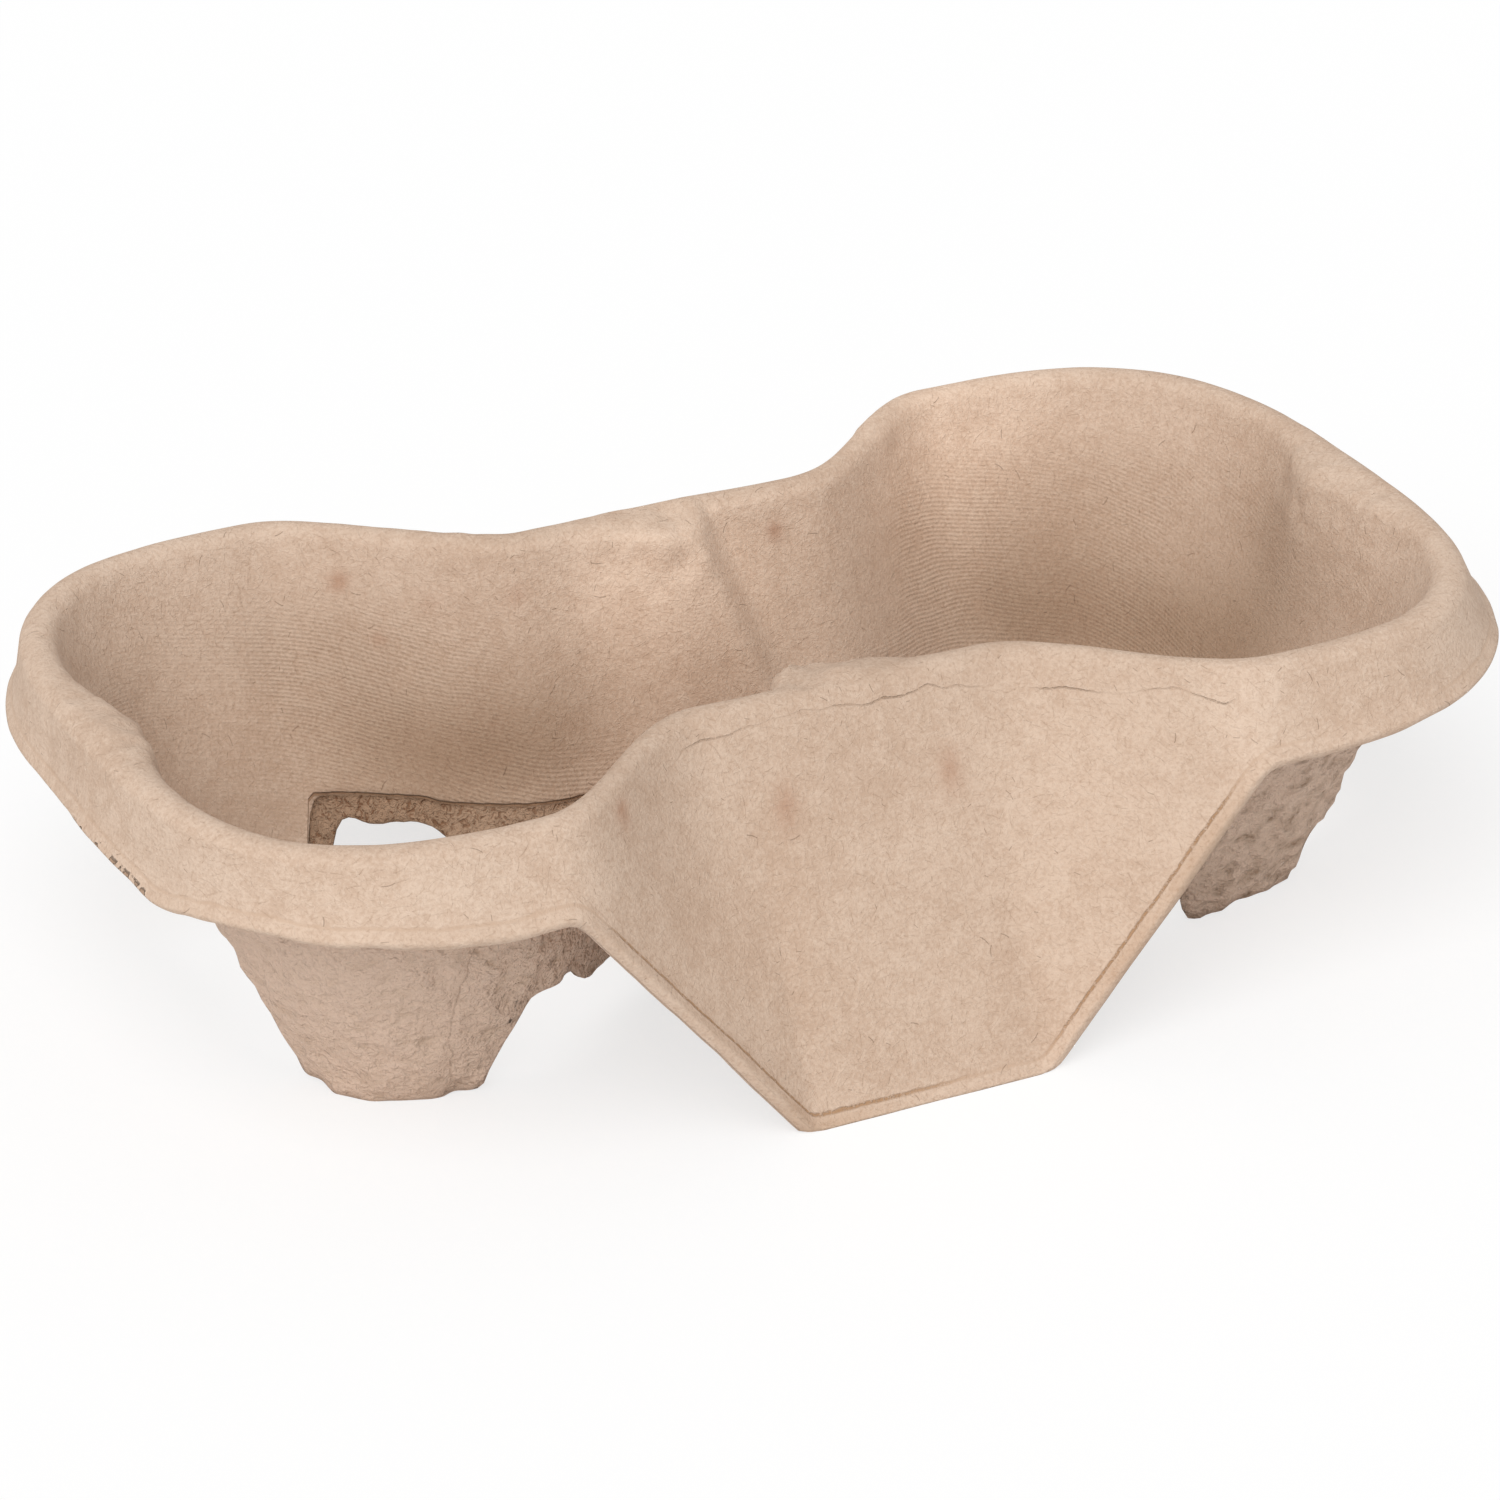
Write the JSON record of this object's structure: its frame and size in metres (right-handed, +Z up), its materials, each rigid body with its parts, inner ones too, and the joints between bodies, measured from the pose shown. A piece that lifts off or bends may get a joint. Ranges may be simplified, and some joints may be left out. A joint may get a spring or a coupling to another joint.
{
  "type": "cup carrier tray",
  "caption": "Low moulded-pulp cup carrier: bottomless cup pockets joined by a narrow waist inside one rolled rim, with a hanging skirt, corner legs and slanted side panels down to the table.",
  "frame": {"origin": "on the table, under the middle of the overall length and width", "axes": "+X along the tray's length, +Y across it, +Z up out of the pockets"},
  "size_m": [0.2159, 0.123, 0.054],
  "materials": {
    "pulp": "matt moulded paper pulp, tan, with short fibres and dark flecks; a fine screen imprint low inside the pockets and a rough underside"
  },
  "bodies": {
    "root": {"pulp_tray": "pulp"}
  },
  "joints": []
}
